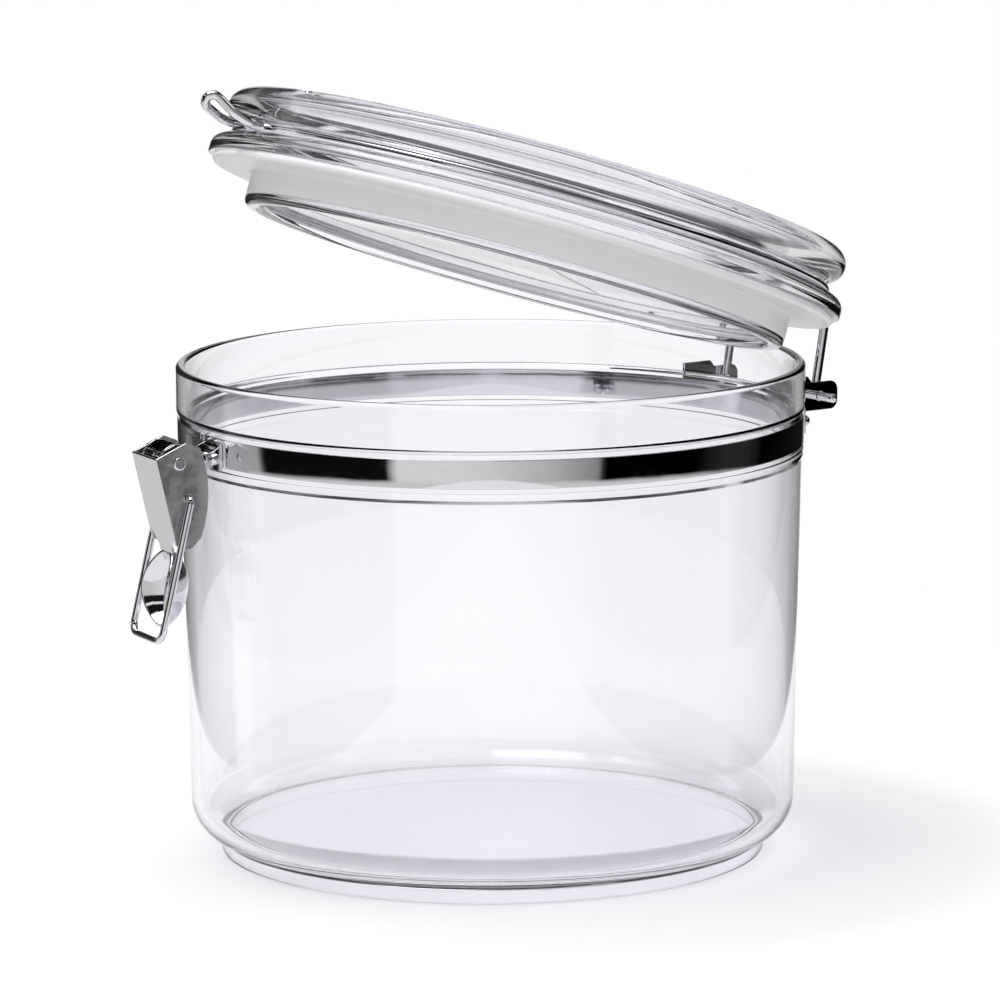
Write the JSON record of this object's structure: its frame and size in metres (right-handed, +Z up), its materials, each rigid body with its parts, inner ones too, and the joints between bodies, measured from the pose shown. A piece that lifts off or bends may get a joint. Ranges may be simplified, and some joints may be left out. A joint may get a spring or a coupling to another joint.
{
  "type": "clamp-lid food canister",
  "caption": "Clear acrylic food canister with a steel neck band, a hinged hollow lid on a wire bail, a milky gasket and an over-centre toggle latch, lid ajar.",
  "frame": {"origin": "on the jar's axis, at the plane its foot ring stands on", "axes": "+Z up the jar's axis, +Y towards the lid's hinge, +X along the hinge axis; the latch is opposite the hinge, 9 degrees round towards -X"},
  "size_m": [0.2076, 0.2418, 0.2473],
  "materials": {
    "clear_acrylic": "clear, polished, with a faint violet-grey tint",
    "polished_steel": "polished stainless steel",
    "milky_silicone": "soft, milky translucent silicone"
  },
  "bodies": {
    "base": {"jar": "clear_acrylic", "neck_band": "polished_steel", "latch_bracket": "polished_steel", "latch_rivets": "polished_steel", "hinge_ear_right": "polished_steel", "hinge_ear_left": "polished_steel", "hinge_rivets": "polished_steel", "lever_pin": "polished_steel"},
    "lid": {"lid_insert": "clear_acrylic", "lid_dome": "clear_acrylic", "gasket": "milky_silicone", "bail": "polished_steel"},
    "latch_lever": {"lever": "polished_steel"},
    "link": {"latch_link": "polished_steel"}
  },
  "joints": [
    {"name": "lid_hinge", "type": "hinge", "parent": "base", "child": "lid", "pos_m": [0, 0.1137, 0.1383], "axis": [-1, 0, 0], "range_deg": [-18.9, 91.1]},
    {"name": "lever_pivot", "type": "hinge", "parent": "base", "child": "latch_lever", "pos_m": [-0.01752, -0.11062, 0.1331], "axis": [-0.9877, 0.1564, 0], "range_deg": [0, 105]},
    {"name": "link_pivot", "type": "hinge", "parent": "latch_lever", "child": "link", "pos_m": [-0.01705, -0.10767, 0.1221], "axis": [-0.9877, 0.1564, 0], "range_deg": [-18, 81]}
  ]
}
